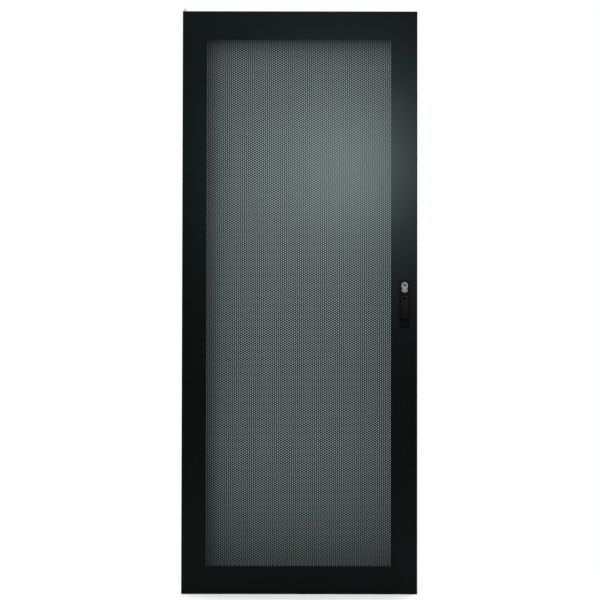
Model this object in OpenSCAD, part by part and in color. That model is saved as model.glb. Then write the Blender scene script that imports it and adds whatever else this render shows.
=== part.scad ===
// Perforated rack door: a folded steel tray with a window, a perforated sheet welded
// behind it and a stiffening frame of channels, hung on a lower bush and a sprung upper
// pin, and closed by a swing handle that drives two latch rods by rack and pinion.
// The hinge line is the Z axis. The front faces -Y and the handle is at +X.

/* [Door] */
// Width over the side flanges
door_w = 792; // [560:1:1000]
// Height over the end flanges
door_h = 1960; // [1200:1:2300]
// Depth of the folded tray
door_d = 28; // [26:1:40]
// Thickness of the folded tray's steel
sheet_t = 1.5; // [1:0.1:2]
// Outer radius of the front folds
fold_r = 3; // [2.2:0.1:5]
// Width of the lips folded in at the back
lip_w = 14; // [8:0.5:15]
// Gap at the mitred corners of the lips
mitre_gap = 1; // [0.5:0.1:2]
// Clearance of a welded or pressed-in part past a fold or in its hole
seat_play = 0.05; // [0.02:0.01:0.1]

/* [Punched field] */
// Plain margin on the hinge side
margin_hinge = 80; // [75:1:110]
// Plain margin on the handle side
margin_latch = 87; // [86:1:120]
// Plain margin at the top
margin_top = 94; // [90:1:160]
// Plain margin at the bottom
margin_bottom = 90; // [90:1:160]
// Thickness of the perforated sheet behind the window
mesh_t = 1.2; // [1:0.1:1.5]
// Diameter of one punched hole
punch_d = 5.3; // [3:0.1:5.8]
// Pitch of the holes down a column
punch_pitch = 7.75; // [7.4:0.05:10]
// Drawn holes are this many times the punched size and pitch
punch_scale = 5; // [5:1:9]

/* [Stiffening frame] */
// Thickness of the channel steel
channel_t = 1.5; // [1:0.1:2.5]
// Width of the channel flanges
channel_w = 14; // [8:0.5:14]
// Distance of the channels' webs from the window's edge
channel_gap = 2; // [1:0.5:4]
// Play between a channel and the lips' plane
channel_play = 1.5; // [0.5:0.1:3]

/* [Hinges] */
// Distance of the hinge line from the hinge-side edge
hinge_inset = 7; // [6.9:0.1:8]
// Diameter of the sprung upper pin in its bracket
pin_d = 7; // [6.6:0.1:7.4]
// Diameter of the upper pin's nose, which stands out of the door
nose_d = 6; // [4:0.1:6.4]
// Height by which the upper pin stands out of the door
pin_out = 10; // [6:0.5:12]
// Distance by which the upper pin draws back
pin_travel = 12; // [8:0.5:13]
// Distance between the ears of the upper bracket
ear_gap = 62; // [58:1:90]
// Radial play of the pins in the ears
pin_play = 0.05; // [0.02:0.01:0.1]
// Thickness of the bracket steel
bracket_t = 3; // [2:0.1:4]
// Width of the brackets
bracket_w = 38; // [30:1:45]
// Bore of the lower bush
bush_bore_d = 6.2; // [5:0.1:6.4]
// Wall of the lower bush
bush_wall = 1.5; // [1:0.1:1.8]
// Thickness of the bush's head, which carries the door
bush_head_t = 1.5; // [1:0.1:3]
// Length of the bush above its head
bush_len = 12; // [8:0.5:20]
// Wire of the pin spring
spring_wire = 0.9; // [0.6:0.1:1.1]
// Turns of the pin spring
spring_turns = 9; // [5:1:11]

/* [Handle] */
// Width of the handle dish
dish_w = 37; // [34:0.5:42]
// Height of the dish above the handle spindle
dish_up = 55.5; // [54:0.5:70]
// Height of the dish below the handle spindle
dish_down = 103; // [100:0.5:130]
// Thickness of the dish on the sheet
dish_t = 6; // [5.5:0.1:8]
// Depth of the floor below the dish's rim
dish_floor = 2; // [1:0.1:2.5]
// Width of the dish's rim
dish_rim = 4; // [3:0.1:4.5]
// Height of the spindle above the door's middle
handle_rise = 16; // [-100:1:100]
// Width of the lever at its fork
lever_w = 25; // [23:0.5:26]
// Width of the lever at its free end
lever_tip_w = 22; // [18:0.5:23]
// Thickness of the lever
lever_t = 10.4; // [9:0.1:12]
// Length of the lever below its pin
lever_len = 76; // [60:0.5:80]
// Gap between the lever and the dish's rim
lever_gap = 0.6; // [0.4:0.1:2]
// Diameter of the lever's pin
lever_pin_d = 4; // [3:0.1:5]
// Diameter of the spindle in the dish
spindle_d = 16; // [14:0.1:16]
// Radial play of the turning parts
turn_play = 0.05; // [0.02:0.01:0.1]

/* [Lock] */
// Height of the lock above the spindle
lock_rise = 39; // [38.5:0.1:42]
// Diameter of the lock's barrel
barrel_d = 17; // [16:0.1:18]
// Diameter of the lock's bezel
bezel_d = 22; // [20:0.1:24]
// Thickness of the bezel
bezel_t = 2; // [1.5:0.1:3]
// Diameter of the lock's plug
plug_d = 10.4; // [9.5:0.1:10.6]
// Diameter of the dust cover
cover_d = 20; // [18:0.1:20.6]
// Thickness of the dust cover
cover_t = 1.4; // [1:0.1:2]
// Distance of the cover's rivet from the lock's axis
cover_arm = 7.6; // [7.5:0.1:8]
// Gap between flat faces that pass each other
face_gap = 0.4; // [0.3:0.05:0.6]
// Length of the lock's cam
cam_len = 12; // [8:0.5:12]

/* [Rod drive] */
// Module of the pinion and racks
gear_m = 2; // [1.8:0.1:2]
// Teeth on the pinion
gear_teeth = 12; // [12:2:12]
// Pressure angle of the teeth
gear_angle = 25; // [22:1:26]
// Side play of each tooth
tooth_play = 0.3; // [0.2:0.05:0.4]
// Thickness of the pinion and racks
gear_t = 7; // [5:0.5:8]
// Width of the latch rods
rod_w = 9; // [8:0.5:9]
// Thickness of the latch rods
rod_t = 2.5; // [2:0.1:3]
// Distance of the rods' ends from the door's ends
rod_end = 50; // [45:1:90]
// Length of the hooks at the rods' ends
hook_len = 24; // [18:1:40]
// Wall of the gearbox
box_wall = 2; // [1.5:0.1:2]
// Half height of the gearbox
box_half = 20; // [18:0.5:21]
// Gap round the racks in the gearbox
box_play = 0.3; // [0.3:0.05:0.5]
// Distance between the two guides of one rod
guide_step = 420; // [200:10:500]

/* [Small parts] */
// Diameter of the earth stud
earth_d = 6; // [5:0.5:8]
// Length of the earth stud
earth_len = 22; // [14:0.5:24]
// Diameter of a rubber buffer's head
buffer_d = 11; // [8:0.5:12]
// Height of a rubber buffer's head
buffer_h = 4; // [2:0.5:6]

/* [Hidden] */

$fn = 48;
eps = 0.01;

paint = "#1b211f";
zinc = "#9aa0a2";
dark_plastic = "#17191a";
chrome = "#c9cdd0";
nylon = "#e4e2d8";
black_rubber = "#101112";

// Planes of the door
x_left = -hinge_inset;
x_right = door_w - hinge_inset;
y_front = -door_d / 2;
y_in = y_front + sheet_t;
y_back = door_d / 2;
y_lip = y_back - sheet_t;
y_mesh = y_in + mesh_t;
z_bot = bush_head_t;
z_top = z_bot + door_h;

// Punched field
field_x0 = x_left + margin_hinge;
field_x1 = x_right - margin_latch;
field_z0 = z_bot + margin_bottom;
field_z1 = z_top - margin_top;
field_w = field_x1 - field_x0;
field_h = field_z1 - field_z0;
hole_d = punch_d * punch_scale;
pitch_z = punch_pitch * punch_scale;
pitch_x = pitch_z * 5 / 6;
columns = floor((field_w - hole_d) / pitch_x) + 1;
rows = floor((field_h - hole_d) / pitch_z) + 1;
hole_x0 = (field_x0 + field_x1 - (columns - 1) * pitch_x) / 2;
hole_z0 = (field_z0 + field_z1 - (rows - 1) * pitch_z) / 2;

// Handle, lock and rods
spindle_x = x_right - margin_latch / 2 + 0.5;
spindle_z = z_bot + door_h / 2 + handle_rise;
lock_z = spindle_z + lock_rise;
rivet_z = lock_z - cover_arm;
cover_z = rivet_z - cover_arm;
y_rim = y_front - dish_t;
y_floor = y_rim + dish_floor;
flange_t = 2.4;
flange_d = spindle_d + 5.4;
y_seat = y_floor + flange_t;
y_pin = y_rim - lever_gap - lever_t / 2;
lug_w = 9;
cheek_play = 0.3;
boss_d = spindle_d + 9;
boss_play = 0.3;
y_gear0 = y_in + box_wall + 1;
y_gear1 = y_gear0 + gear_t;
y_rod1 = y_gear1 + rod_t;
screw_head_h = 2.4;
y_lid = y_rod1 + screw_head_h + 0.6;
lid_t = 2;
square_side = 9;
tail_d = 8;
gear_r = gear_m * gear_teeth / 2;
rack_x0 = gear_r + 1.25 * gear_m;
rod_x = rack_x0 + rod_w / 2;
rod_travel = PI / 2 * gear_r;
stud_d = 4;
guide_h = 18;
guide_play = 0.4;
guide_wall = 3;
y_bezel = y_rim - bezel_t;
barrel_back = y_gear1 + 3.4;
guide_zs = [
    spindle_z + 120 + guide_step, spindle_z + 120,
    spindle_z - 120, spindle_z - 120 - guide_step,
];
buffer_zs = [z_bot + door_h * 0.15, z_bot + door_h * 0.5, z_bot + door_h * 0.85];
buffer_x = x_right - sheet_t - (lip_w - sheet_t) / 2;
stem_d = 5;
earth_x = 28;
earth_nut_top = 6.2;
earth_z = z_bot + margin_bottom / 2;

// Extrudes a drawing in X and Z from y0 to y1
module along_y(y0, y1) {
    translate([0, y1, 0]) rotate([90, 0, 0]) linear_extrude(y1 - y0) children();
}

// Extrudes a drawing in Y and Z from x0 to x1
module along_x(x0, x1) {
    translate([x0, 0, 0]) rotate([90, 0, 90]) linear_extrude(x1 - x0) children();
}

// A round bar along Y
module bar_y(x, z, d, y0, y1) {
    translate([x, y1, z]) rotate([90, 0, 0]) cylinder(d = d, h = y1 - y0);
}

// Points of an arc about a centre
function arc(c, r, a0, a1, n) =
    [for (i = [0 : n]) c + r * [cos(a0 + (a1 - a0) * i / n), sin(a0 + (a1 - a0) * i / n)]];

// Points of a rectangle with four rounded corners
function rounded(x0, x1, z0, z1, r, n = 6) = concat(
    arc([x1 - r, z1 - r], r, 0, 90, n), arc([x0 + r, z1 - r], r, 90, 180, n),
    arc([x0 + r, z0 + r], r, 180, 270, n), arc([x1 - r, z0 + r], r, 270, 360, n)
);

// Points of a section whose two corners on the front side are rounded
function fold_section(a0, a1, f0, f1, r) = concat(
    [[a1, f1], [a0, f1]], arc([a0 + r, f0 + r], r, 180, 270, 5),
    arc([a1 - r, f0 + r], r, 270, 360, 5)
);

// The hole in the top flange, wide enough for the pin's shoulder and wider than the bush
pin_hole_d = max(pin_d + 1, bush_bore_d + 2 * bush_wall + 0.8);

// A block with rounded front edges, set in by the given distance
module tray_form(inset, radius, y1) {
    x0 = x_left + inset;
    x1 = x_right - inset;
    z0 = z_bot + inset;
    z1 = z_top - inset;
    side = fold_section(z0, z1, y_front + inset, y1, radius);
    intersection() {
        translate([0, 0, z0]) linear_extrude(z1 - z0)
            polygon(fold_section(x0, x1, y_front + inset, y1, radius));
        along_x(x0, x1) polygon([for (p = side) [p[1], p[0]]]);
    }
}

// The punches: columns of round holes, every second one half a pitch down
module punches() {
    for (c = [0 : columns - 1], r = [0 : rows - 1 - c % 2])
        bar_y(hole_x0 + c * pitch_x, hole_z0 + (r + (c % 2) / 2) * pitch_z, hole_d,
            y_in - 1, y_mesh + 1, $fn = 24);
}

// The perforated sheet: it laps behind the window's edges as far as the channels do
module perforated_sheet() {
    lap = channel_gap + channel_w;
    color(paint) difference() {
        translate([field_x0 - lap, y_in, field_z0 - lap])
            cube([field_w + 2 * lap, mesh_t, field_h + 2 * lap]);
        punches();
    }
}

// The mitre cuts at the four corners of the lips
module mitres() {
    for (x = [x_left, x_right], z = [z_bot, z_top]) {
        turn = (x == x_left) == (z == z_bot) ? 45 : -45;
        translate([x, y_lip + sheet_t / 2, z]) rotate([0, -turn, 0])
            cube([2.6 * lip_w, 2 * sheet_t, mitre_gap], center = true);
    }
}

module door_frame() {
    color(paint) difference() {
        tray_form(0, fold_r, y_back);
        tray_form(sheet_t, fold_r - sheet_t, y_lip);
        translate([x_left + lip_w, 0, z_bot + lip_w])
            cube([door_w - 2 * lip_w, door_d, door_h - 2 * lip_w]);
        intersection() {
            mitres();
            translate([x_left + sheet_t, y_lip - 1, z_bot + sheet_t])
                cube([door_w - 2 * sheet_t, 5, door_h - 2 * sheet_t]);
        }
        translate([field_x0, y_front - 1, field_z0]) cube([field_w, sheet_t + 2, field_h]);
        translate([0, 0, z_top - 2 * sheet_t]) cylinder(d = pin_hole_d, h = 4 * sheet_t);
        translate([0, 0, z_bot - sheet_t])
            cylinder(d = bush_bore_d + 2 * bush_wall + 2 * seat_play, h = 4 * sheet_t);
        bar_y(spindle_x, spindle_z, boss_d + 2 * boss_play, y_front - 1, y_in + 1);
        bar_y(spindle_x, lock_z, barrel_d + 2 * seat_play, y_front - 1, y_in + 1);
        for (z = dish_screw_zs) bar_y(spindle_x, z, 5.5, y_front - 1, y_in + 1);
        for (z = buffer_zs) bar_y(buffer_x, z, stem_d, y_lip - 1, y_back + 1);
    }
}

// A C channel section, its web on the side of the punched field
function channel_section(web_x, out, y0, y1) = [
    [web_x, y0], [web_x + out * channel_w, y0], [web_x + out * channel_w, y0 + channel_t],
    [web_x + out * channel_t, y0 + channel_t], [web_x + out * channel_t, y1 - channel_t],
    [web_x + out * channel_w, y1 - channel_t], [web_x + out * channel_w, y1], [web_x, y1],
];
channel_y1 = y_lip - channel_play;
web_left = field_x0 - channel_gap;
web_right = field_x1 + channel_gap;
web_top = field_z1 + channel_gap;
web_bottom = field_z0 - channel_gap;

// An upright channel between the two end channels
module upright(web_x, out) {
    color(paint) translate([0, 0, web_bottom]) linear_extrude(web_top - web_bottom)
        polygon(channel_section(web_x, out, y_mesh, channel_y1));
}

// A level channel that runs over the ends of the uprights
module level_channel(web_z, out) {
    section = channel_section(web_z, out, y_mesh, channel_y1);
    color(paint) along_x(web_left - channel_w, web_right + channel_w)
        polygon([for (p = section) [p[1], p[0]]]);
}

module hinge_side_channel() { upright(web_left, -1); }

module latch_side_channel() { upright(web_right, 1); }

module top_channel() { level_channel(web_top, 1); }

module bottom_channel() { level_channel(web_bottom, -1); }

// Upper hinge: a U-shaped bracket, the sprung pin and its grip
ear_x0 = x_left + sheet_t;
ear_x1 = ear_x0 + bracket_w;
ear_y1 = y_lip - 3;
ear_top = z_top - sheet_t;
ear_low = ear_top - bracket_t - ear_gap;
pin_top = z_top + pin_out;
pin_low = ear_low - bracket_t - 14;
collar_t = 2;
grip_d = 6.8;
grip_z = ear_top - bracket_t - grip_d / 2 - 1;
collar_top = grip_z - 2.5;
spring_top = collar_top - collar_t;
spring_r = pin_d / 2 + 0.4 + spring_wire / 2;

// The wedges that free a bracket from the inside of two folds that meet in a corner
module fold_relief(z) {
    side = sqrt(2) * (fold_r - sheet_t + seat_play);
    translate([ear_x0, y_in, z_bot]) rotate([0, 0, 45])
        translate([-side / 2, -side / 2, 0]) cube([side, side, door_h]);
    translate([ear_x0 - 1, y_in, z]) rotate([45, 0, 0])
        translate([0, -side / 2, -side / 2]) cube([bracket_w + 2, side, side]);
}

module upper_hinge_bracket() {
    color(zinc) difference() {
        translate([ear_x0, y_in, ear_low - bracket_t])
            cube([bracket_w, ear_y1 - y_in, ear_top - ear_low + bracket_t]);
        translate([ear_x0 - 1, y_in + bracket_t, ear_low])
            cube([bracket_w + 2, door_d, ear_gap]);
        translate([ear_x1 - 6, y_in + bracket_t, ear_low - 2 * bracket_t])
            cube([10, door_d, ear_gap + 4 * bracket_t]);
        translate([0, 0, ear_low - 2 * bracket_t])
            cylinder(d = pin_d + 2 * pin_play, h = ear_gap + 4 * bracket_t);
        fold_relief(ear_top);
    }
}

module upper_hinge_pin() {
    color(zinc) difference() {
        rotate_extrude() polygon([
            [0, pin_low], [pin_d / 2 - 0.6, pin_low], [pin_d / 2, pin_low + 0.6],
            [pin_d / 2, z_top - 0.5], [nose_d / 2, z_top],
            [nose_d / 2, pin_top - 1.2], [nose_d / 2 - 1.2, pin_top], [0, pin_top],
        ]);
        translate([-pin_d, 0, grip_z]) rotate([0, 90, 0]) cylinder(d = 3, h = 2 * pin_d);
    }
}

// A turned finger grip, screwed through the pin
module pin_grip() {
    color(zinc) translate([0, 0, grip_z]) rotate([0, 90, 0]) rotate_extrude() polygon([
        [0, -pin_d / 2 - 0.4], [1.5, -pin_d / 2 - 0.4], [1.5, pin_d / 2 + 0.6], [2, pin_d / 2 + 1],
        [2, 13], [grip_d / 2, 14], [grip_d / 2, 24], [grip_d / 2 - 0.8, 25], [0, 25],
    ]);
}

module pin_collar() {
    color(zinc) translate([0, 0, collar_top - collar_t]) difference() {
        cylinder(d = pin_d + 3, h = collar_t);
        translate([0, 0, -1]) cylinder(d = pin_d, h = collar_t + 2);
    }
}

// The coil spring between the grip and the lower ear
module pin_spring() {
    h = spring_top - ear_low - spring_wire;
    end = PI * spring_wire;
    color(zinc) union() {
        translate([0, 0, ear_low + spring_wire / 2])
            linear_extrude(h, twist = -360 * spring_turns, slices = 16 * spring_turns, $fn = 8)
                translate([spring_r, 0]) circle(d = spring_wire, $fn = 8);
        for (z = [ear_low, spring_top - spring_wire]) translate([0, 0, z]) difference() {
            cylinder(r = spring_r + spring_wire / 2, h = spring_wire);
            translate([0, 0, -1]) cylinder(r = spring_r - spring_wire / 2, h = end);
        }
    }
}

// Lower hinge: an L-shaped bracket and a nylon bush that carries the door
module lower_hinge_bracket() {
    z0 = z_bot + sheet_t;
    color(zinc) difference() {
        translate([ear_x0, y_in, z0]) cube([bracket_w, ear_y1 - y_in, ear_gap / 2]);
        translate([ear_x0 - 1, y_in + bracket_t, z0 + bracket_t])
            cube([bracket_w + 2, door_d, ear_gap]);
        translate([ear_x1 - 6, y_in + bracket_t, z0 - 1]) cube([10, door_d, ear_gap]);
        translate([0, 0, z0 - 1])
            cylinder(d = bush_bore_d + 2 * bush_wall + 2 * seat_play, h = bracket_t + 2);
        fold_relief(z0);
    }
}

module lower_hinge_bush() {
    color(nylon) difference() {
        union() {
            cylinder(d = bush_bore_d + 2 * bush_wall + 3, h = bush_head_t);
            cylinder(d = bush_bore_d + 2 * bush_wall, h = bush_head_t + bush_len);
        }
        translate([0, 0, -1]) cylinder(d = bush_bore_d, h = bush_len + bush_head_t + 2);
    }
}

// Handle dish: a moulded plate with a shallow floor, a finger scoop and a rear boss
dish_x0 = spindle_x - dish_w / 2;
dish_x1 = spindle_x + dish_w / 2;
dish_z0 = spindle_z - dish_down;
dish_z1 = spindle_z + dish_up;
lever_z0 = spindle_z - lever_len;
floor_z0 = dish_z0 + 13;
floor_z1 = spindle_z + 15;
scoop_h = 20;
dish_screw_zs = [spindle_z - box_half - 14, dish_z0 + 9];

module handle_dish() {
    color(dark_plastic) difference() {
        union() {
            along_y(y_front - 2, y_front)
                polygon(rounded(dish_x0, dish_x1, dish_z0, dish_z1, 7));
            along_y(y_rim + 1.2, y_front - 2)
                polygon(rounded(dish_x0 + 0.6, dish_x1 - 0.6, dish_z0 + 0.6, dish_z1 - 0.6, 6.5));
            along_y(y_rim, y_rim + 1.2)
                polygon(rounded(dish_x0 + 1.6, dish_x1 - 1.6, dish_z0 + 1.6, dish_z1 - 1.6, 5.5));
            bar_y(spindle_x, spindle_z, boss_d, y_front - 1, y_in);
        }
        along_y(y_rim - 1, y_floor) polygon(rounded(
            dish_x0 + dish_rim, dish_x1 - dish_rim, floor_z0, floor_z1, 4));
        along_y(y_rim - 1, y_front - 1) polygon(rounded(
            spindle_x - lever_tip_w / 2, spindle_x + lever_tip_w / 2,
            lever_z0 - 14, lever_z0 - 14 + scoop_h, 3));
        bar_y(spindle_x, spindle_z, flange_d + 2 * turn_play, y_rim - 1, y_seat + turn_play);
        bar_y(spindle_x, spindle_z, spindle_d + 2 * turn_play, y_rim - 1, y_in + 1);
        bar_y(spindle_x, lock_z, barrel_d, y_rim - 1, y_in + 1);
        for (z = dish_screw_zs) bar_y(spindle_x, z, 4, y_front - 3.5, y_in + 1);
    }
}

// The spindle: lug, flange, journal, square drive and tail
module handle_spindle() {
    color(zinc) difference() {
        union() {
            bar_y(spindle_x, spindle_z, flange_d, y_floor, y_seat);
            bar_y(spindle_x, spindle_z, spindle_d, y_seat - eps, y_gear0 - 0.5);
            translate([spindle_x - square_side / 2, y_gear0 - 1, spindle_z - square_side / 2])
                cube([square_side, gear_t + 1, square_side]);
            bar_y(spindle_x, spindle_z, tail_d, y_gear1 - eps, y_lid + lid_t + 0.5);
            along_x(spindle_x - lug_w / 2, spindle_x + lug_w / 2) union() {
                translate([y_pin, spindle_z]) circle(d = lever_t - 1.2);
                translate([y_pin, spindle_z - lever_t / 2 + 0.6])
                    square([y_floor - y_pin + 1, lever_t - 1.2]);
            }
        }
        translate([spindle_x - 20, y_pin, spindle_z]) rotate([0, 90, 0])
            cylinder(d = lever_pin_d, h = 40);
    }
}

module lever_pin() {
    color(zinc) translate([spindle_x - lever_w / 2 + 1, y_pin, spindle_z]) rotate([0, 90, 0])
        cylinder(d = lever_pin_d, h = lever_w - 2);
}

// The lever: a side profile cut to a tapered plan, forked over the spindle's lug
function lever_side() = concat(
    arc([y_pin, spindle_z], lever_t / 2, 0, 180, 12),
    [[y_pin - lever_t / 2 - 1.2, spindle_z - lever_len * 0.55]],
    arc([y_pin - lever_t / 2 + 1.6, lever_z0 + 3.4], 3.4, 180, 270, 5),
    arc([y_pin + lever_t / 2 - 4.6, lever_z0 + 2.6], 2.6, 270, 350, 5),
    [[y_pin + lever_t / 2, lever_z0 + 22]]
);
function lever_plan() = concat(
    arc([spindle_x + lever_w / 2 - 6, spindle_z + lever_t / 2 - 6], 6, 0, 90, 6),
    arc([spindle_x - lever_w / 2 + 6, spindle_z + lever_t / 2 - 6], 6, 90, 180, 6),
    arc([spindle_x - lever_tip_w / 2 + 5, lever_z0 + 5], 5, 180, 270, 6),
    arc([spindle_x + lever_tip_w / 2 - 5, lever_z0 + 5], 5, 270, 360, 6)
);

module handle_lever() {
    slot_w = lug_w + 2 * cheek_play;
    slot_low = spindle_z - lever_t / 2 - 3;
    color(dark_plastic) difference() {
        intersection() {
            along_x(spindle_x - lever_w, spindle_x + lever_w) polygon(lever_side());
            along_y(y_pin - lever_t, y_pin + lever_t) polygon(lever_plan());
        }
        translate([spindle_x - slot_w / 2, y_pin - lever_t, slot_low])
            cube([slot_w, 2 * lever_t, lever_t * 2]);
        translate([spindle_x - lever_w, y_pin, spindle_z]) rotate([0, 90, 0])
            cylinder(d = lever_pin_d + 2 * turn_play, h = 2 * lever_w);
    }
}

// Lock: a chromed housing with a turning plug, a nut and a cam
module lock_housing() {
    color(chrome) difference() {
        union() {
            translate([spindle_x, y_rim, lock_z]) rotate([90, 0, 0]) rotate_extrude() polygon([
                [0, 0], [bezel_d / 2, 0], [bezel_d / 2, bezel_t - 0.8],
                [bezel_d / 2 - 1, bezel_t], [0, bezel_t],
            ]);
            bar_y(spindle_x, lock_z, barrel_d, y_rim - eps, barrel_back);
        }
        bar_y(spindle_x, lock_z, plug_d + 2 * turn_play, y_bezel - 1, barrel_back + 1);
        bar_y(spindle_x, rivet_z, 3, y_bezel - 1, y_rim + 1);
    }
}

module lock_plug() {
    color(chrome) difference() {
        union() {
            bar_y(spindle_x, lock_z, plug_d, y_bezel, barrel_back);
            bar_y(spindle_x, lock_z, 6, barrel_back - eps, barrel_back + face_gap + 2);
        }
        translate([spindle_x - 0.7, y_bezel - 1, lock_z - 3.6]) cube([1.4, 17, 7.2]);
        translate([spindle_x, barrel_back - 3, lock_z]) rotate([-90, 0, 0])
            cylinder(d = 3, h = 10);
    }
}

module lock_nut() {
    y1 = y_in + 4;
    color(zinc) difference() {
        translate([spindle_x, y1, lock_z]) rotate([90, 0, 0]) cylinder(d = 24, h = 4, $fn = 6);
        bar_y(spindle_x, lock_z, barrel_d, y_in - 1, y1 + 1);
    }
}

module lock_cam() {
    y0 = barrel_back + face_gap;
    color(zinc) difference() {
        along_y(y0, y0 + 2) union() {
            translate([spindle_x, lock_z]) circle(r = 6.2);
            translate([spindle_x - 4, lock_z - cam_len]) square([8, cam_len]);
        }
        bar_y(spindle_x, lock_z, 6, y0 - 1, y0 + 3);
    }
}

module cam_screw() {
    y0 = barrel_back + face_gap + 2;
    color(zinc) difference() {
        union() {
            bar_y(spindle_x, lock_z, 8, y0, y0 + 2);
            bar_y(spindle_x, lock_z, 3, barrel_back - 2.5, y0 + 1);
        }
        translate([spindle_x - 5, y0 + 1.2, lock_z - 0.5]) cube([10, 2, 1]);
    }
}

// The dust cover hangs on its rivet and swings over the keyway
module dust_cover() {
    y1 = y_bezel - face_gap;
    color(chrome) difference() {
        translate([spindle_x, y1, cover_z]) rotate([90, 0, 0]) rotate_extrude() polygon([
            [0, 0], [cover_d / 2, 0], [cover_d / 2, cover_t - 0.5],
            [cover_d / 2 - 0.6, cover_t], [0, cover_t],
        ]);
        bar_y(spindle_x, rivet_z, 3 + 2 * turn_play, y1 - cover_t - 1, y1 + 1);
    }
}

module cover_rivet() {
    y1 = y_bezel - face_gap - cover_t - face_gap;
    color(chrome) union() {
        bar_y(spindle_x, rivet_z, 3, y1, y_rim);
        translate([spindle_x, y1, rivet_z]) rotate([90, 0, 0]) rotate_extrude() polygon([
            [0, 0], [2.4, 0], [2.4, 0.5], [1.6, 1], [0, 1],
        ]);
    }
}

// Screws that hold the dish, one of them through the gearbox's foot
module dish_screws() {
    color(zinc) for (i = [0, 1]) {
        z = dish_screw_zs[i];
        y0 = y_in + (i == 0 ? box_wall : 0);
        difference() {
            union() {
                bar_y(spindle_x, z, 4, y_front - 3.5, y0 + 1);
                bar_y(spindle_x, z, 8.5, y0, y0 + 2.6);
            }
            along_y(y0 + 1.2, y0 + 3) for (a = [0, 90]) translate([spindle_x, z]) rotate(a)
                square([5, 1], center = true);
        }
    }
}

// Gearbox: a cast tray with a foot, and its rear cover
box_x = rack_x0 + rod_w + box_play + box_wall;

module gearbox_housing() {
    foot_z0 = dish_screw_zs[0] - 7;
    color(zinc) difference() {
        union() {
            translate([spindle_x - box_x, y_in, spindle_z - box_half])
                cube([2 * box_x, y_lid - y_in, 2 * box_half]);
            along_y(y_in, y_in + box_wall)
                polygon(rounded(spindle_x - 8, spindle_x + 8, foot_z0, spindle_z, 4));
        }
        translate([spindle_x - box_x + box_wall, y_in + box_wall, spindle_z - box_half - 1])
            cube([2 * (box_x - box_wall), door_d, 2 * box_half + 2]);
        bar_y(spindle_x, spindle_z, spindle_d + 2 * boss_play, y_in - 1, y_in + box_wall + 1);
        bar_y(spindle_x, dish_screw_zs[0], 4.4, y_in - 1, y_in + box_wall + 1);
    }
}

module gearbox_cover() {
    color(zinc) difference() {
        along_y(y_lid, y_lid + lid_t) polygon(rounded(
            spindle_x - box_x, spindle_x + box_x,
            spindle_z - box_half, spindle_z + box_half, 3));
        bar_y(spindle_x, spindle_z, tail_d + 2 * turn_play, y_lid - 1, y_lid + lid_t + 1);
    }
}

// Involute of a base circle, turned by an angle
function involute(rb, t, turn) = rb * [
    cos(t + turn) + t * PI / 180 * sin(t + turn), sin(t + turn) - t * PI / 180 * cos(t + turn)];
base_r = gear_r * cos(gear_angle);
tip_r = gear_r + gear_m - 0.1;
root_r = gear_r - 1.25 * gear_m;
tip_roll = sqrt(pow(tip_r / base_r, 2) - 1) * 180 / PI;
pitch_roll = tan(gear_angle) * 180 / PI;
half_tooth = 90 / gear_teeth - tooth_play / 2 / gear_r * 180 / PI;
flank_turn = half_tooth + pitch_roll - gear_angle;
flank = [for (i = [0 : 6]) involute(base_r, tip_roll * i / 6, -flank_turn)];

// One tooth of the pinion, pointing along +X
function tooth() = concat(
    [root_r * [cos(flank_turn), -sin(flank_turn)]], flank,
    [for (i = [6 : -1 : 0]) [flank[i][0], -flank[i][1]]],
    [root_r * [cos(flank_turn), sin(flank_turn)]]
);
function turned(points, a) =
    [for (p = points) [p[0] * cos(a) - p[1] * sin(a), p[0] * sin(a) + p[1] * cos(a)]];

module drive_pinion() {
    color(zinc) along_y(y_gear0, y_gear1) translate([spindle_x, spindle_z]) difference() {
        polygon([for (i = [0 : gear_teeth - 1], p = turned(tooth(), i * 360 / gear_teeth)) p]);
        square(square_side, center = true);
    }
}

// A rack whose gaps are in step with the pinion's teeth; side is 1 or -1
rack_pitch = PI * gear_m;
rack_above = ceil(rod_travel / rack_pitch + 1.6);
rack_teeth_z = [for (i = [-2 : rack_above - 1]) (i + 0.5) * rack_pitch];
rack_low = -2 * rack_pitch;
rack_high = rack_above * rack_pitch + 14;

function rack_tooth(z) = let (
    h = rack_pitch / 4 - tooth_play / 2, s = tan(gear_angle), a = gear_m - 0.1, d = 1.25 * gear_m
) [
    [gear_r + d, z - h - d * s], [gear_r - a, z - h + a * s],
    [gear_r - a, z + h - a * s], [gear_r + d, z + h + d * s],
];

module rack(side) {
    points = concat([for (z = rack_teeth_z, p = rack_tooth(z)) p],
        [[rack_x0, rack_high], [rack_x0 + rod_w, rack_high],
            [rack_x0 + rod_w, rack_low], [rack_x0, rack_low]]);
    color(zinc) difference() {
        along_y(y_gear0, y_gear1) translate([spindle_x, spindle_z]) scale_side(side)
            polygon(points);
        bar_y(spindle_x + side * rod_x, spindle_z + side * (rack_high - 7), stud_d,
            y_gear0 - 1, y_gear1 + 1);
    }
}

// Turns a drawing half round for the lower rod's side
module scale_side(side) {
    rotate(side > 0 ? 0 : 180) children();
}

module upper_rack() { rack(1); }

module lower_rack() { rack(-1); }

// A flat latch rod with a hook bent back at its end
module rod(side) {
    x = spindle_x + side * rod_x;
    start = spindle_z + side * (rack_high - 14);
    end = side > 0 ? z_top - rod_end : z_bot + rod_end;
    low = min(start, end);
    high = max(start, end);
    hook_z = side > 0 ? high - rod_t : low;
    color(zinc) difference() {
        union() {
            translate([x - rod_w / 2, y_gear1, low]) cube([rod_w, rod_t, high - low]);
            translate([x - rod_w / 2, y_gear1, hook_z]) cube([rod_w, hook_len, rod_t]);
            translate([x - rod_w / 2, y_gear1 + hook_len - rod_t, hook_z + (side > 0 ? 0 : -8)])
                cube([rod_w, rod_t, 8 + rod_t]);
        }
        bar_y(x, spindle_z + side * (rack_high - 7), stud_d, y_gear1 - 1, y_rod1 + 1);
    }
}

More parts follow.
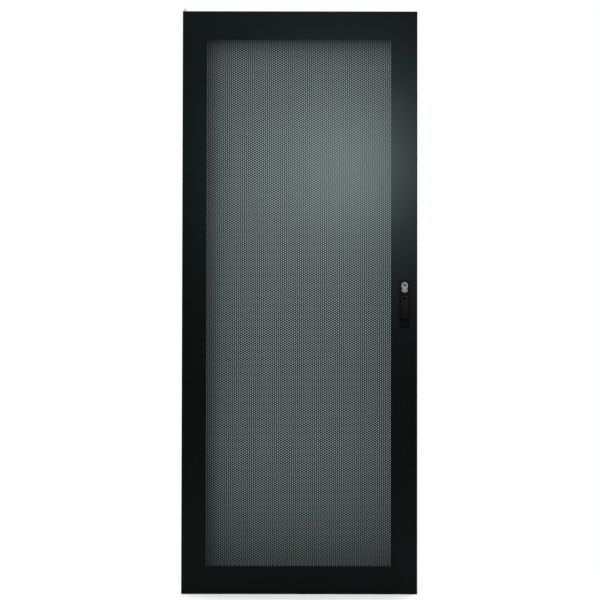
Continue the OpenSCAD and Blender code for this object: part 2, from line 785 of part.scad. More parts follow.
module upper_rod() { rod(1); }

module lower_rod() { rod(-1); }

module rack_screw(side) {
    x = spindle_x + side * rod_x;
    z = spindle_z + side * (rack_high - 7);
    color(zinc) difference() {
        union() {
            bar_y(x, z, stud_d, y_gear0 + 1, y_rod1 + 1);
            bar_y(x, z, 7.5, y_rod1, y_rod1 + screw_head_h);
        }
        along_y(y_rod1 + 1.2, y_rod1 + 3) translate([x, z]) square([8.5, 1], center = true);
    }
}

module upper_rack_screw() { rack_screw(1); }

module lower_rack_screw() { rack_screw(-1); }

// A moulded guide round a rod, with a foot on a welded stud
guide_foot = 15;

module rod_guide(i) {
    side = i < 2 ? 1 : -1;
    x = spindle_x + side * rod_x;
    half = rod_w / 2 + guide_play + guide_wall;
    color(dark_plastic) difference() {
        union() {
            translate([x - half, y_in, guide_zs[i] - guide_h / 2])
                cube([2 * half, y_rod1 + guide_play + guide_wall - y_in, guide_h]);
            translate([x - (side > 0 ? half + guide_foot : 0), y_in, guide_zs[i] - guide_h / 2])
                cube([half + guide_foot, 3, guide_h]);
        }
        translate([x - rod_w / 2 - guide_play, y_gear1 - guide_play, guide_zs[i] - guide_h])
            cube([rod_w + 2 * guide_play, rod_t + 2 * guide_play, 2 * guide_h]);
        bar_y(stud_x(i), guide_zs[i], stud_d + 0.4, y_in - 1, y_in + 4);
    }
}
function stud_x(i) = spindle_x + (i < 2 ? 1 : -1)
    * (rod_x - rod_w / 2 - guide_play - guide_wall - guide_foot / 2);

module rod_guide_1() { rod_guide(0); }

module rod_guide_2() { rod_guide(1); }

module rod_guide_3() { rod_guide(2); }

module rod_guide_4() { rod_guide(3); }

module guide_studs() {
    color(zinc) for (i = [0 : 3]) bar_y(stud_x(i), guide_zs[i], stud_d, y_in, y_in + 10);
}

module guide_nuts() {
    color(zinc) for (i = [0 : 3]) difference() {
        translate([stud_x(i), y_in + 6.2, guide_zs[i]]) rotate([90, 0, 0])
            cylinder(d = 8, h = 3.2, $fn = 6);
        bar_y(stud_x(i), guide_zs[i], stud_d, y_in, y_in + 8);
    }
}

// Earthing point in the lower margin
module earth_stud() {
    color(zinc) union() {
        bar_y(earth_x, earth_z, earth_d - 0.4, y_in, y_in + earth_nut_top);
        bar_y(earth_x, earth_z, earth_d, y_in + earth_nut_top, y_in + earth_len);
    }
}

module earth_washer() {
    color(zinc) along_y(y_in, y_in + 1.2) translate([earth_x, earth_z]) difference() {
        circle(r = earth_d);
        circle(d = earth_d - 0.4);
        for (a = [0 : 30 : 330]) rotate(a) translate([earth_d + 0.2, 0]) circle(r = 0.8, $fn = 4);
    }
}

module earth_nut() {
    color(zinc) difference() {
        translate([earth_x, y_in + earth_nut_top, earth_z]) rotate([90, 0, 0])
            cylinder(d = earth_d * 1.9, h = 5, $fn = 6);
        bar_y(earth_x, earth_z, earth_d - 0.4, y_in, y_in + earth_nut_top + 1);
    }
}

// A push-in buffer on the back of the latch-side lip
module rubber_buffer(i) {
    color(black_rubber) translate([buffer_x, y_lip, buffer_zs[i]]) rotate([-90, 0, 0])
        rotate_extrude() polygon([
            [0, -2], [stem_d / 2, -2], [stem_d / 2, sheet_t], [buffer_d / 2, sheet_t],
            [buffer_d / 2, sheet_t + buffer_h * 0.6], [buffer_d / 2 - 1.6, sheet_t + buffer_h],
            [0, sheet_t + buffer_h],
        ]);
}

module rubber_buffer_1() { rubber_buffer(0); }

module rubber_buffer_2() { rubber_buffer(1); }

module rubber_buffer_3() { rubber_buffer(2); }

door_frame();
perforated_sheet();
hinge_side_channel();
latch_side_channel();
top_channel();
bottom_channel();
upper_hinge_bracket();
upper_hinge_pin();
pin_grip();
pin_collar();
pin_spring();
lower_hinge_bracket();
lower_hinge_bush();
handle_dish();
handle_spindle();
lever_pin();
handle_lever();
lock_housing();
lock_plug();
lock_nut();
lock_cam();
cam_screw();
dust_cover();
cover_rivet();
dish_screws();
gearbox_housing();
gearbox_cover();
drive_pinion();
upper_rack();
lower_rack();
upper_rod();
lower_rod();
upper_rack_screw();
lower_rack_screw();
rod_guide_1();
rod_guide_2();
rod_guide_3();
rod_guide_4();
guide_studs();
guide_nuts();
earth_stud();
earth_washer();
earth_nut();
rubber_buffer_1();
rubber_buffer_2();
rubber_buffer_3();
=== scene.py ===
"""Dresses the perforated rack door: the punched sheet, its fittings, the studio and the camera."""

import logging
import math
from dataclasses import dataclass
from enum import Enum
from typing import Any, Iterable, Sequence

import bpy
import numpy as np
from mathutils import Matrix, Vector


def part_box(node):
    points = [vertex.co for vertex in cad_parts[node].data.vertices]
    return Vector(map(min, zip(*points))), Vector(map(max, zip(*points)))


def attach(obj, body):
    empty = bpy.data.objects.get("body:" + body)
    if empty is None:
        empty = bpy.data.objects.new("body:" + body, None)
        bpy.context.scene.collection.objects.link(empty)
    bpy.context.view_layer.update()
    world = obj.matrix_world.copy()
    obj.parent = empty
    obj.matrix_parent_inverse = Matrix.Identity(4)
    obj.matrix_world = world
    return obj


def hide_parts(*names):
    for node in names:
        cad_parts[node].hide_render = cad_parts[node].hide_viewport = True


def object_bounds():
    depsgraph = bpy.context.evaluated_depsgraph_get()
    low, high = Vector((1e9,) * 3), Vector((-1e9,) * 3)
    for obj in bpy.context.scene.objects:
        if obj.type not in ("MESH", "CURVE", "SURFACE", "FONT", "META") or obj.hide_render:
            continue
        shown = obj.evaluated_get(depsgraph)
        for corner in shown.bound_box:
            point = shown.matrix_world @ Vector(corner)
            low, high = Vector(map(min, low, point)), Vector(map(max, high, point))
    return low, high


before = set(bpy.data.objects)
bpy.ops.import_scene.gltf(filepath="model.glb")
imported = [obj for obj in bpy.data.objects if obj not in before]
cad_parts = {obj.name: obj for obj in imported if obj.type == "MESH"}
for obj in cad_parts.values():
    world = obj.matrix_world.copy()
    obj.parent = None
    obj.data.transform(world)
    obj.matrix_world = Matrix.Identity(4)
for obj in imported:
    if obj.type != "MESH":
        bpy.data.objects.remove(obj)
CAD_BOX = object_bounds()

log = logging.getLogger("rack_door")
MM = 0.001
SIDES = 8  # corners of a punched hole
EDGE_ANGLE_DEG = 35.0  # folds sharper than this get an edge break
MAP_EDGE = 0.01  # clear margin round a sheet's flat map
NOISE_LOW, NOISE_HIGH = 0.3, 0.7  # where the grain's noise mostly lies
BUMP_STRENGTH = 0.6
Point = tuple[float, float, float]
Colour = tuple[float, float, float, float]


def linear(hex_colour: str) -> Colour:
    """Turns an sRGB hex colour to linear light.

    Args:
        hex_colour: six hex digits after a hash.

    Returns:
        Red, green, blue and a full alpha.
    """
    parts = [int(hex_colour[i : i + 2], 16) / 255 for i in (1, 3, 5)]
    light = [c / 12.92 if c <= 0.04045 else ((c + 0.055) / 1.055) ** 2.4 for c in parts]
    return (light[0], light[1], light[2], 1.0)


def add_node(
    tree: bpy.types.NodeTree,
    kind: str,
    settings: dict[str, Any] | None = None,
    inputs: dict[str | int, Any] | None = None,
) -> bpy.types.Node:
    """Adds a shader node with its settings and its inputs.

    Args:
        tree: the node tree to add to.
        kind: the node's type without its ShaderNode prefix.
        settings: attributes of the node.
        inputs: values, or sockets to link from, by input name or index.

    Returns:
        The new node.
    """
    made = tree.nodes.new("ShaderNode" + kind)
    for name, value in (settings or {}).items():
        setattr(made, name, value)
    for name, value in (inputs or {}).items():
        if isinstance(value, bpy.types.NodeSocket):
            tree.links.new(value, made.inputs[name])
        else:
            made.inputs[name].default_value = value
    return made


class Grain(Enum):
    """How a finish's fine relief is laid."""

    SPECKLE = "speckle"
    BRUSHED_UP = "brushed_up"
    BRUSHED_ROUND = "brushed_round"


@dataclass(frozen=True)
class Finish:
    """A surface finish: its colours, gloss and the real size of its grain.

    Attributes:
        name: what the material is and how it was finished.
        colour: sRGB colour of the sound surface.
        shade: sRGB colour of the darker patches.
        metallic: 0 for paint and plastic, 1 for bare metal.
        roughness: middle roughness.
        spread: how far roughness varies either side.
        grain_mm: distance between grains.
        relief_mm: depth of the grain.
        patch_mm: size of the slow changes of tone.
        specular: specular level of a finish that isn't metal.
        grain: how the relief is laid.
        gloss_tint: sRGB colour of the gloss of a finish that isn't metal.
    """

    name: str
    colour: str
    shade: str
    metallic: float
    roughness: float
    spread: float
    grain_mm: float
    relief_mm: float
    patch_mm: float
    specular: float = 0.5
    grain: Grain = Grain.SPECKLE
    gloss_tint: str = "#ffffff"

    def material(self) -> bpy.types.Material:
        """Builds the finish once and hands it back.

        Returns:
            The material of this finish.
        """
        known = bpy.data.materials.get(self.name)
        if known:
            return known
        made = bpy.data.materials.new(self.name)
        made.use_nodes = True
        tree = made.node_tree
        tree.nodes.clear()
        place = add_node(tree, "NewGeometry").outputs["Position"]
        stretch = {
            Grain.SPECKLE: (1.0, 1.0, 1.0),
            Grain.BRUSHED_UP: (1.0, 1.0, 0.04),
            Grain.BRUSHED_ROUND: (0.15, 0.15, 1.0),
        }[self.grain]
        laid = add_node(tree, "Mapping", inputs={"Vector": place, "Scale": stretch})
        fine = add_node(
            tree,
            "TexNoise",
            inputs={
                "Vector": laid.outputs[0],
                "Scale": 1 / (self.grain_mm * MM),
                "Detail": 2.0,
                "Roughness": 0.55,
            },
        ).outputs[0]
        slow = add_node(
            tree,
            "TexNoise",
            inputs={"Vector": place, "Scale": 1 / (self.patch_mm * MM), "Detail": 3.0},
        ).outputs[0]
        tone = add_node(
            tree,
            "MixRGB",
            inputs={0: slow, 1: linear(self.shade), 2: linear(self.colour)},
        )
        gloss = add_node(
            tree,
            "MapRange",
            inputs={
                "Value": fine,
                "From Min": NOISE_LOW,
                "From Max": NOISE_HIGH,
                "To Min": self.roughness - self.spread,
                "To Max": self.roughness + self.spread,
            },
        )
        bump = add_node(
            tree,
            "Bump",
            inputs={"Strength": BUMP_STRENGTH, "Distance": self.relief_mm * MM, "Height": fine},
        )
        skin = add_node(
            tree,
            "BsdfPrincipled",
            inputs={
                "Base Color": tone.outputs[0],
                "Metallic": self.metallic,
                "Roughness": gloss.outputs[0],
                "Normal": bump.outputs[0],
            },
        )
        if not self.metallic:
            skin.inputs["Specular IOR Level"].default_value = self.specular
            skin.inputs["Specular Tint"].default_value = linear(self.gloss_tint)
        add_node(tree, "OutputMaterial", inputs={"Surface": skin.outputs[0]})
        return made


# Polyester powder coat on steel: near black with a green cast and a soft sheen. The real
# orange peel is about 0.8 mm across; it is drawn 2.5 mm across so that it shows.
POWDER_COAT = Finish(
    "powder_coat_black_green", "#050807", "#040606", 0.0, 0.27, 0.02, 2.5, 0.02, 90, 0.06,
    gloss_tint="#dcfff9",
)
# Glass-filled nylon, spark-eroded mould: blacker than the coat, with less shine.
MOULDED_NYLON = Finish(
    "moulded_nylon_black", "#030303", "#020202", 0.0, 0.27, 0.04, 1.2, 0.015, 30, 0.035
)
# Die-cast zinc under black electro-coat: thin, smooth and a touch glossier than the nylon.
COATED_CAST = Finish(
    "zinc_die_cast_black_coated", "#040404", "#030303", 0.0, 0.28, 0.04, 0.9, 0.01, 9, 0.06
)
# Bright zinc plate on pressed steel: pale, slightly blue, faintly cloudy.
ZINC_PLATE = Finish(
    "zinc_plate_bright", "#b4b9bc", "#989da1", 1.0, 0.34, 0.08, 1.5, 0.01, 12
)
# Die-cast zinc, as it leaves the mould: grey and evenly dull.
DIE_CAST = Finish("zinc_die_cast", "#9b9ea0", "#85888b", 1.0, 0.46, 0.06, 0.9, 0.015, 9)
# Polished chrome plate: mirror-like with the finest polishing marks.
CHROME_PLATE = Finish(
    "chrome_plate_polished", "#d2d6d9", "#bfc4c8", 1.0, 0.12, 0.02, 0.8, 0.0004, 15
)
# Nickel plate on the cover's disc: greyer and a little softer than the chrome ring.
SATIN_NICKEL = Finish(
    "nickel_plate_satin", "#a3a5a4", "#8f9190", 1.0, 0.15, 0.02, 0.7, 0.0004, 10
)
# Blackened brass plug: dark, so that the key slot's ring stands out round it.
BLACK_BRASS = Finish(
    "brass_blackened", "#3a3833", "#2b2a27", 1.0, 0.34, 0.05, 0.6, 0.001, 8
)
# Hard-drawn spring wire with drawing lines along it.
SPRING_WIRE = Finish(
    "spring_wire_drawn", "#85888c", "#6d7074", 1.0, 0.32, 0.06, 0.4, 0.01, 4,
    grain=Grain.BRUSHED_ROUND,
)
# Cold-rolled flat bar, plated: the rolling lines run along the rod.
ROLLED_BAR = Finish(
    "zinc_plate_rolled_bar", "#aeb3b6", "#92979b", 1.0, 0.36, 0.08, 1.0, 0.012, 40,
    grain=Grain.BRUSHED_UP,
)
# Unfilled nylon, moulded: milky and waxy.
NATURAL_NYLON = Finish(
    "natural_nylon_moulded", "#dedbd0", "#cfccbf", 0.0, 0.45, 0.05, 1.0, 0.01, 6, 0.4
)
# Moulded rubber: very dark and matt, with a faint bloom.
RUBBER = Finish("rubber_moulded", "#17181a", "#1f2022", 0.0, 0.7, 0.08, 0.7, 0.03, 7, 0.3)


def dress(names: Iterable[str], finish: Finish, edge_mm: float = 0.0) -> None:
    """Gives CAD pieces their finish and, where asked, a small edge break.

    Args:
        names: the CAD nodes.
        finish: the finish that they get.
        edge_mm: width of the rounded edge; 0 leaves the edges as they are.
    """
    for name in names:
        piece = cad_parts[name]
        piece.data.materials.clear()
        piece.data.materials.append(finish.material())
        if edge_mm:
            round_edges(piece, edge_mm)
        log.info("dressed %s in %s", name, finish.name)


def round_edges(piece: bpy.types.Object, width_mm: float, segments: int = 2) -> None:
    """Adds an edge break to a piece.

    Args:
        piece: the object.
        width_mm: width of the rounding.
        segments: steps across it.
    """
    edge = piece.modifiers.new("edge_break", "BEVEL")
    edge.width = width_mm * MM
    edge.segments = segments
    edge.limit_method = "ANGLE"
    edge.angle_limit = math.radians(EDGE_ANGLE_DEG)
    edge.harden_normals = False


def solid(
    name: str,
    verts: Sequence[Point],
    faces: Sequence[Sequence[int]],
    finish: Finish,
    body: str,
) -> bpy.types.Object:
    """Makes a mesh piece, gives it its finish and seats it on a body.

    Args:
        name: the piece's name.
        verts: corner points in metres.
        faces: corner indices of each face.
        finish: its finish.
        body: the body that it rides on.

    Returns:
        The piece.
    """
    mesh = bpy.data.meshes.new(name)
    mesh.from_pydata(verts, [], faces)
    mesh.materials.append(finish.material())
    mesh.validate()
    piece = bpy.data.objects.new(name, mesh)
    bpy.context.scene.collection.objects.link(piece)
    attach(piece, body)
    log.info("built %s: %d faces", name, len(mesh.polygons))
    return piece


@dataclass
class PerforatedSheet:
    """The perforated sheet behind the window, with every hole at its real pitch.

    Attributes:
        lap: how far the sheet laps behind the window's edges.
        hole_d: clear diameter of a hole, a little under the CAD's punch.
        hole_pitch: distance of the holes in a column.
        column_pitch: distance of the columns.
        bands: number of pieces that the sheet is made in.
    """

    lap: float = 16.0 * MM
    hole_d: float = 5.0 * MM
    hole_pitch: float = 7.75 * MM
    column_pitch: float = 6.42 * MM
    bands: int = 5

    def __post_init__(self) -> None:
        """Reads the sheet's place from the frame."""
        low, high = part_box("perforated_sheet")
        self.y0, self.y1 = low[1], high[1]
        self.sheet = (low[0], high[0], low[2], high[2])

    def lattice(self) -> tuple[np.ndarray, np.ndarray, int, int]:
        """Places the holes.

        Returns:
            Column positions, first heights of even and odd columns, and the numbers of
            columns and of rows in an even column.
        """
        fx0, fx1, fz0, fz1 = (v + s * self.lap for v, s in zip(self.sheet, (1, -1, 1, -1)))
        columns = int((fx1 - fx0 - self.hole_d) / self.column_pitch + 1e-4) + 1
        columns -= 1 - columns % 2
        rows = int((fz1 - fz0 - self.hole_d) / self.hole_pitch) + 1
        start = (fx0 + fx1 - (columns - 1) * self.column_pitch) / 2
        xs = start + np.arange(columns) * self.column_pitch
        foot = (fz0 + fz1 - (rows - 1) * self.hole_pitch) / 2
        return xs, np.array([foot, foot + self.hole_pitch / 2]), columns, rows

    def front_faces(self) -> tuple[np.ndarray, list[tuple[int, list[int]]]]:
        """Lays out the field as one flat net of faces round eight-sided holes.

        Returns:
            Points (x, z) and, for each face, the column it belongs to and its corners,
            anticlockwise from the front.
        """
        xs, feet, columns, rows = self.lattice()
        fx0, fx1, fz0, fz1 = self.sheet
        radius = self.hole_d / 2
        turn = np.pi / SIDES * (1 + 2 * np.arange(SIDES))
        ring = np.stack([np.cos(turn), np.sin(turn)], 1) * radius
        points: list[np.ndarray] = []
        first: list[int] = []
        count = [rows - c % 2 for c in range(columns)]
        total = 0
        for c in range(columns):
            first.append(total)
            z = feet[c % 2] + np.arange(count[c]) * self.hole_pitch
            centre = np.stack([np.full(count[c], xs[c]), z], 1)
            points.append((centre[:, None, :] + ring[None]).reshape(-1, 2))
            total += SIDES * count[c]
        extra: list[tuple[float, float]] = []
        faces: list[tuple[int, list[int]]] = []

        def hole(c: int, r: int, *corners: int) -> list[int]:
            """Indices of corners of hole r in column c."""
            return [first[c] + SIDES * r + k for k in corners]

        def edge_point(x: float, z: float) -> int:
            """Adds a point on the field's edge and gives its index."""
            extra.append((x, z))
            return total + len(extra) - 1

        def add(c: int, *parts: list[int]) -> None:
            """Adds a face of column c from runs of corners."""
            faces.append((c, [i for part in parts for i in part]))

        half_x = radius * math.sin(math.pi / SIDES)
        half_z = radius * math.sin(math.pi / SIDES)
        top = [[edge_point(x + s * half_x, fz1) for s in (-1, 1)] for x in xs]
        foot = [[edge_point(x + s * half_x, fz0) for s in (-1, 1)] for x in xs]
        for c in range(columns):
            n, last = count[c], count[c] - 1
            for r in range(last):
                add(c, hole(c, r, 2, 1), hole(c, r + 1, 6, 5))
            add(c, hole(c, last, 2, 1), top[c][::-1])
            add(c, foot[c], hole(c, 0, 6, 5))
            if c == columns - 1:
                break
            shift, m, d = c % 2, count[c + 1], c + 1
            for r in range(n):
                up, down = r + shift, r + shift - 1
                if up < m:
                    add(c, hole(c, r, 1, 0), hole(d, up, 5, 4))
                if down >= 0:
                    add(c, hole(c, r, 7, 6), hole(d, down, 3, 2))
                if up < m and down >= 0:
                    add(c, hole(c, r, 0, 7), hole(d, down, 2), hole(d, up, 5))
                if r < last:
                    add(c, hole(c, r, 1), hole(d, up, 4, 3), hole(c, r + 1, 6))
            tip, above, below = m - 1, [top[d][0], top[c][1]], [foot[c][1], foot[d][0]]
            if shift:
                add(c, hole(c, last, 1), hole(d, tip, 4, 3, 2), above)
                add(c, below, hole(d, 0, 5, 4, 3), hole(c, 0, 6))
            else:
                add(c, hole(c, last, 1, 0, 7), hole(d, tip, 2), above)
                add(c, below, hole(d, 0, 5), hole(c, 0, 0, 7, 6))
        borders = ((0, fx0, (4, 3), (2, 5)), (columns - 1, fx1, (7, 0), (1, 6)))
        for c, x, (a, b), (up, low) in borders:
            middles = feet[c % 2] + np.arange(count[c]) * self.hole_pitch
            side = [(edge_point(x, z - half_z), edge_point(x, z + half_z)) for z in middles]
            corners = [edge_point(x, fz0), edge_point(x, fz1)]
            last, inner = count[c] - 1, int(c > 0)
            loops = [[side[r][0], *hole(c, r, a, b), side[r][1]] for r in range(count[c])]
            loops += [
                [side[r][1], *hole(c, r, b, up), *hole(c, r + 1, low, a), side[r + 1][0]]
                for r in range(last)
            ]
            loops.append([corners[0], foot[c][inner], *hole(c, 0, low, a), side[0][0]])
            loops.append([side[last][1], *hole(c, last, b, up), top[c][inner], corners[1]])
            for loop in loops:
                add(c, loop[::-1] if inner else loop)
        return np.concatenate(points + [np.array(extra)]), faces

    def band(self, name: str, points: np.ndarray, faces: list[list[int]]) -> bpy.types.Object:
        """Thickens part of the net into a closed piece of sheet.

        Args:
            name: the piece's name.
            points: all the net's points.
            faces: the corners of this band's faces.

        Returns:
            The piece.
        """
        used = sorted({i for f in faces for i in f})
        at = {old: new for new, old in enumerate(used)}
        n = len(used)
        flat = points[used]
        front = [[at[i] for i in f] for f in faces]
        edges = {(f[i], f[(i + 1) % len(f)]) for f in front for i in range(len(f))}
        rim = [(a, b) for a, b in edges if (b, a) not in edges]
        back = [[i + n for i in reversed(f)] for f in front]
        walls = [[b, a, a + n, b + n] for a, b in rim]
        verts = [(x, y, z) for y in (self.y0, self.y1) for x, z in flat]
        piece = solid(name, verts, front + back + walls, POWDER_COAT, "door")
        self.lay_map(piece)
        return piece

    def lay_map(self, piece: bpy.types.Object) -> None:
        """Gives a piece one flat map seen from the front, so that it stays in one sheet.

        Args:
            piece: the piece.
        """
        mesh = piece.data
        places = np.empty(3 * len(mesh.vertices))
        mesh.vertices.foreach_get("co", places)
        places = places.reshape(-1, 3)
        corner = np.empty(len(mesh.loops), dtype=np.int32)
        mesh.loops.foreach_get("vertex_index", corner)
        flat = places[corner][:, [0, 2]]
        low, high = flat.min(0), flat.max(0)
        scaled = (flat - low) / (high - low).max() * (1 - 2 * MAP_EDGE) + MAP_EDGE
        layer = mesh.uv_layers.new(name="OFBake")
        layer.uv.foreach_set("vector", scaled.ravel())

    def build(self) -> None:
        """Builds the whole sheet."""
        points, faces = self.front_faces()
        columns = self.lattice()[2]
        for b in range(self.bands):
            low, high = b * columns // self.bands, (b + 1) * columns // self.bands
            mine = [f for c, f in faces if low <= c < high]
            piece = self.band(f"perforated_sheet_band_{b + 1}", points, mine)
            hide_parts("perforated_sheet")


@dataclass
class Fittings:
    """The hardware that keeps its CAD form and gets its finish."""

    plated: tuple[str, ...] = (
        "upper_hinge_bracket", "upper_hinge_pin", "pin_grip", "pin_collar",
        "lower_hinge_bracket", "lock_nut", "lock_cam", "cam_screw",
        "dish_screws", "upper_rack_screw", "lower_rack_screw", "guide_studs",
        "guide_nuts", "earth_stud", "earth_washer", "earth_nut",
    )
    cast: tuple[str, ...] = (
        "gearbox_housing", "gearbox_cover", "drive_pinion",
        "upper_rack", "lower_rack",
    )
    channels: tuple[str, ...] = (
        "hinge_side_channel", "latch_side_channel", "top_channel", "bottom_channel",
    )
    moulded: tuple[str, ...] = (
        "handle_dish", "handle_lever", "rod_guide_1", "rod_guide_2", "rod_guide_3",
        "rod_guide_4",
    )
    bright: tuple[str, ...] = ("lock_housing", "cover_rivet")
    buffers: tuple[str, ...] = ("rubber_buffer_1", "rubber_buffer_2", "rubber_buffer_3")

    def build(self) -> None:
        """Dresses every fitting."""
        dress(("door_frame",), POWDER_COAT)
        dress(self.channels, POWDER_COAT, 0.4)
        dress(self.plated, ZINC_PLATE, 0.15)
        dress(("upper_rod", "lower_rod"), ROLLED_BAR, 0.3)
        dress(self.cast, DIE_CAST, 0.2)
        dress(self.moulded, MOULDED_NYLON, 0.5)
        dress(("handle_spindle", "lever_pin"), COATED_CAST, 0.3)
        dress(self.bright, CHROME_PLATE, 0.4)
        dress(("dust_cover",), SATIN_NICKEL, 0.2)
        dress(("lock_plug",), BLACK_BRASS, 0.15)
        dress(("pin_spring",), SPRING_WIRE)
        dress(("lower_hinge_bush",), NATURAL_NYLON, 0.3)
        dress(self.buffers, RUBBER, 0.4)


@dataclass
class Camera:
    """The camera in front of the door, a little below its middle.

    Attributes:
        distance: from the camera to the door's front.
        door_share: share of the picture's height that the door fills.
        dip_deg: how far the camera looks up.
        roll_deg: how far it leans.
        aside: how far the aim lies to the handle side of the door's middle.
        above: how far the aim lies above the door's middle.
    """

    distance: float = 6.0
    door_share: float = 0.9712
    dip_deg: float = 1.2
    roll_deg: float = 0.1
    aside: float = 0.0012
    above: float = 0.005

    def place(self) -> tuple[Vector, Vector]:
        """Works out where the camera stands and what it looks at.

        Returns:
            The camera's place and its aim.
        """
        low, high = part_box("door_frame")
        middle = Vector(((low[0] + high[0]) / 2, low[1], (low[2] + high[2]) / 2))
        aim = middle + Vector((self.aside, 0, self.above))
        dip = math.radians(self.dip_deg)
        return aim - Vector((0, math.cos(dip), math.sin(dip))) * self.distance, aim

    def build(self) -> None:
        """Sets the camera up."""
        low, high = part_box("door_frame")
        place, aim = self.place()
        data = bpy.data.cameras.new("camera")
        data.sensor_width = 36
        data.lens = 36 * self.distance * self.door_share / (high[2] - low[2])
        made = bpy.data.objects.new("camera", data)
        made.location = place
        made.rotation_euler = (aim - place).to_track_quat("-Z", "Y").to_euler()
        made.rotation_euler.rotate_axis("Z", math.radians(self.roll_deg))
        bpy.context.scene.collection.objects.link(made)
        bpy.context.scene.camera = made


@dataclass
class Studio:
    """The studio: a pale floor, a white wall with a painted soft shadow patch, lamps and world.

    Attributes:
        wall_gap: from the door's hinge line back to the wall.
        reach: half the width of the wall and of the floor.
        ambient: strength of the world.
        across: painted shade of the patch across the window, as (share of its width, level).
        upwards: painted shade of the patch up the window, as (share of its height, level).
        fade: width over which the patch fades out behind the door's border.
        hidden: width behind the border that keeps the window's tone.
        margin: width past the door over which the wall has its fine cells.
        cell: size of a fine cell, on the door's plane.
        floor_drop: how far the floor lies under the door, so that they don't share a plane.
        painted_shade_colour: sRGB colour of the painted shade patch at full level.
    """

    wall_gap: float = 0.4
    reach: float = 7.0
    ambient: float = 0.22
    # Painted shade: levels of the patch seen through the holes, darker towards the window's edges,
    # most at its left edge, foot and top.
    across: tuple[tuple[float, float], ...] = (
        (0.0, 0.32), (0.025, 0.37), (0.05, 0.56), (0.08, 0.74), (0.16, 0.92),
        (0.33, 1.0), (0.7, 1.0), (0.9, 0.9), (1.0, 0.78),
    )
    upwards: tuple[tuple[float, float], ...] = (
        (0.0, 0.3), (0.06, 0.5), (0.12, 0.63), (0.22, 0.76), (0.4, 0.8), (0.55, 0.88),
        (0.7, 1.0), (0.82, 0.98), (0.95, 0.81), (0.975, 0.6), (0.99, 0.34), (1.0, 0.06),
    )
    fade: float = 0.05
    hidden: float = 0.012
    margin: float = 0.05
    cell: float = 0.008
    floor_drop: float = 0.0005
    # Grey of the painted shade that shows through the holes.
    painted_shade_colour: Colour = (0.31, 0.375, 0.365, 1.0)

    def painted_shade_levels(self, x: np.ndarray, z: np.ndarray) -> np.ndarray:
        """Gives the wall's colour, painted shade included, at points seen through the door's
        plane.

        Args:
            x: places across, on the door's plane.
            z: heights on the door's plane.

        Returns:
            Red, green and blue for each point.
        """
        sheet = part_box("perforated_sheet")
        lap = PerforatedSheet.lap
        (x0, z0), (x1, z1) = [(c[0] + s * lap, c[2] + s * lap) for c, s in zip(sheet, (1, -1))]
        share_x, share_z = (x - x0) / (x1 - x0), (z - z0) / (z1 - z0)
        # Painted shade: darker towards the window's edges, most at its left edge, foot and top.
        level = np.interp(share_x, *zip(*self.across)) * np.interp(share_z, *zip(*self.upwards))
        outside = np.maximum.reduce([x0 - x, x - x1, z0 - z, z - z1]).clip(0)
        out = np.clip((outside - self.hidden) / self.fade, 0, 1)
        out = (out * out * (3 - 2 * out))[:, None]
        return (1 - out) * level[:, None] * np.array(self.painted_shade_colour[:3]) + out

    def wall(self, eye: Vector) -> None:
        """Puts up the wall and lays its soft patch of painted shade where the window shows it from
        the eye.

        Args:
            eye: where the camera stands.
        """
        low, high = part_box("door_frame")
        scale = (self.wall_gap - eye.y) / (low[1] - eye.y)
        fine_x = np.arange(low[0] - self.margin, high[0] + self.margin, self.cell)
        fine_z = np.arange(low[2] - self.margin, high[2] + self.margin, self.cell)
        floor = CAD_BOX[0][2]
        xs = np.concatenate([[-self.reach], eye.x + (fine_x - eye.x) * scale, [self.reach]])
        zs = eye.z + (fine_z - eye.z) * scale
        zs = np.concatenate([[floor], zs[zs > floor], [2 * self.reach]])
        grid_x, grid_z = np.meshgrid(xs, zs)
        n = len(xs)
        verts = [(x, self.wall_gap, z) for x, z in zip(grid_x.ravel(), grid_z.ravel())]
        faces = [
            (r * n + c, r * n + c + 1, (r + 1) * n + c + 1, (r + 1) * n + c)
            for r in range(len(zs) - 1)
            for c in range(n - 1)
        ]
        made = self.staged("wall", verts, faces, self.wall_paint())
        flat_x = eye.x + (grid_x.ravel() - eye.x) / scale
        flat_z = eye.z + (grid_z.ravel() - eye.z) / scale
        # Painted shade: the patch's levels go into the wall's points as its shade colour.
        shade = np.ones((len(verts), 4))
        shade[:, :3] = self.painted_shade_levels(flat_x, flat_z)
        layer = made.data.color_attributes.new("shade", "FLOAT_COLOR", "POINT")
        layer.data.foreach_set("color", shade.ravel())

    def wall_paint(self) -> bpy.types.Material:
        """White wall paint, clear from behind, with the painted shade patch in it.

        Returns:
            The material.
        """
        made = bpy.data.materials.new("matt_white_wall_painted_shade")
        made.use_nodes = True
        tree = made.node_tree
        tree.nodes.clear()
        # Reads the painted shade laid into the wall's points.
        shade = add_node(tree, "Attribute", {"attribute_name": "shade"}).outputs["Color"]
        path = add_node(tree, "LightPath").outputs
        shown = add_node(
            tree, "Math", {"operation": "MAXIMUM"},
            {0: path["Is Camera Ray"], 1: path["Is Glossy Ray"]},
        ).outputs[0]
        shown = add_node(
            tree, "Math", {"operation": "MAXIMUM"}, {0: shown, 1: path["Is Transmission Ray"]}
        ).outputs[0]
        matt = add_node(tree, "BsdfDiffuse", inputs={"Color": shade}).outputs[0]
        # Camera, glossy and transmission rays see the painted shade as emission.
        glow = add_node(tree, "Emission", inputs={"Color": shade, "Strength": 1.0}).outputs[0]
        front = add_node(tree, "MixShader", inputs={0: shown, 1: matt, 2: glow}).outputs[0]
        behind = add_node(tree, "NewGeometry").outputs["Backfacing"]
        hidden = add_node(
            tree, "Math", {"operation": "MAXIMUM"}, {0: behind, 1: path["Is Shadow Ray"]}
        ).outputs[0]
        clear = add_node(tree, "BsdfTransparent").outputs[0]
        surface = add_node(tree, "MixShader", inputs={0: hidden, 1: front, 2: clear})
        add_node(tree, "OutputMaterial", inputs={"Surface": surface.outputs[0]})
        return made

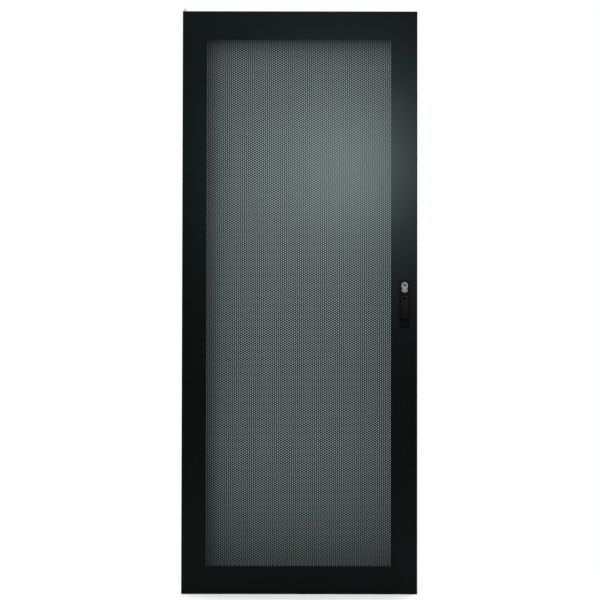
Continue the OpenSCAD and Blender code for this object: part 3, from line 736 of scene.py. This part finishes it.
    def floor(self) -> None:
        """Lays the pale floor."""
        made = bpy.data.materials.new("matt_white_floor")
        made.use_nodes = True
        tree = made.node_tree
        tree.nodes.clear()
        matt = add_node(tree, "BsdfDiffuse", inputs={"Color": linear("#fbfbfb")})
        add_node(tree, "OutputMaterial", inputs={"Surface": matt.outputs[0]})
        level, r = CAD_BOX[0][2] - self.floor_drop, self.reach
        corners = [(-r, -r, level), (r, -r, level), (r, r, level), (-r, r, level)]
        self.staged("floor", corners, [(0, 1, 2, 3)], made)

    def staged(
        self,
        name: str,
        verts: Sequence[Point],
        faces: Sequence[Sequence[int]],
        paint: bpy.types.Material,
    ) -> bpy.types.Object:
        """Adds a surface of the studio.

        Args:
            name: the surface's name.
            verts: its points.
            faces: the corners of its faces.
            paint: its material.

        Returns:
            The surface.
        """
        mesh = bpy.data.meshes.new(name)
        mesh.from_pydata(verts, [], faces)
        mesh.materials.append(paint)
        made = bpy.data.objects.new(name, mesh)
        bpy.context.scene.collection.objects.link(made)
        return made

    def lamp(
        self, name: str, place: Point, aim: Point, size: tuple[float, float], watts: float
    ) -> None:
        """Hangs a soft box.

        Args:
            name: the lamp's name.
            place: where it hangs.
            aim: the point that it faces.
            size: width and height of its face.
            watts: its power.
        """
        light = bpy.data.lights.new(name, "AREA")
        light.shape = "RECTANGLE"
        light.size, light.size_y = size
        light.energy = watts
        made = bpy.data.objects.new(name, light)
        made.location = place
        made.rotation_euler = (Vector(aim) - Vector(place)).to_track_quat("-Z", "Y").to_euler()
        bpy.context.scene.collection.objects.link(made)

    def world(self) -> None:
        """Fills the studio with soft even light."""
        made = bpy.data.worlds.new("pale_studio")
        bpy.context.scene.world = made
        made.use_nodes = True
        tree = made.node_tree
        tree.nodes.clear()
        sky = add_node(
            tree, "Background", inputs={"Color": (1, 1, 1, 1), "Strength": self.ambient}
        )
        add_node(tree, "OutputWorld", inputs={"Surface": sky.outputs[0]})

    def build(self, eye: Vector) -> None:
        """Builds the studio round the door.

        Args:
            eye: where the camera stands.
        """
        self.world()
        self.floor()
        self.wall(eye)
        low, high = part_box("door_frame")
        mid_x, mid_z = (low[0] + high[0]) / 2, (low[2] + high[2]) / 2
        self.lamp("sheen", (0.645, -3.01, 1.74), (0.56, 0, 1.4), (0.3, 0.3), 45)
        self.lamp("top", (mid_x - 0.6, -2.2, 3.6), (mid_x, 0, mid_z), (2.0, 1.6), 100)
        self.lamp("back", (mid_x + 1.2, 3.0, 2.6), (mid_x, 0, mid_z), (1.8, 1.4), 90)


def main() -> None:
    """Builds the dressed door, the studio and the camera."""
    logging.basicConfig(level=logging.INFO, format="%(message)s")
    bpy.context.scene.view_settings.view_transform = "Standard"
    camera = Camera()
    camera.build()
    PerforatedSheet().build()
    Fittings().build()
    Studio().build(camera.place()[0])


if __name__ == "__main__":
    main()
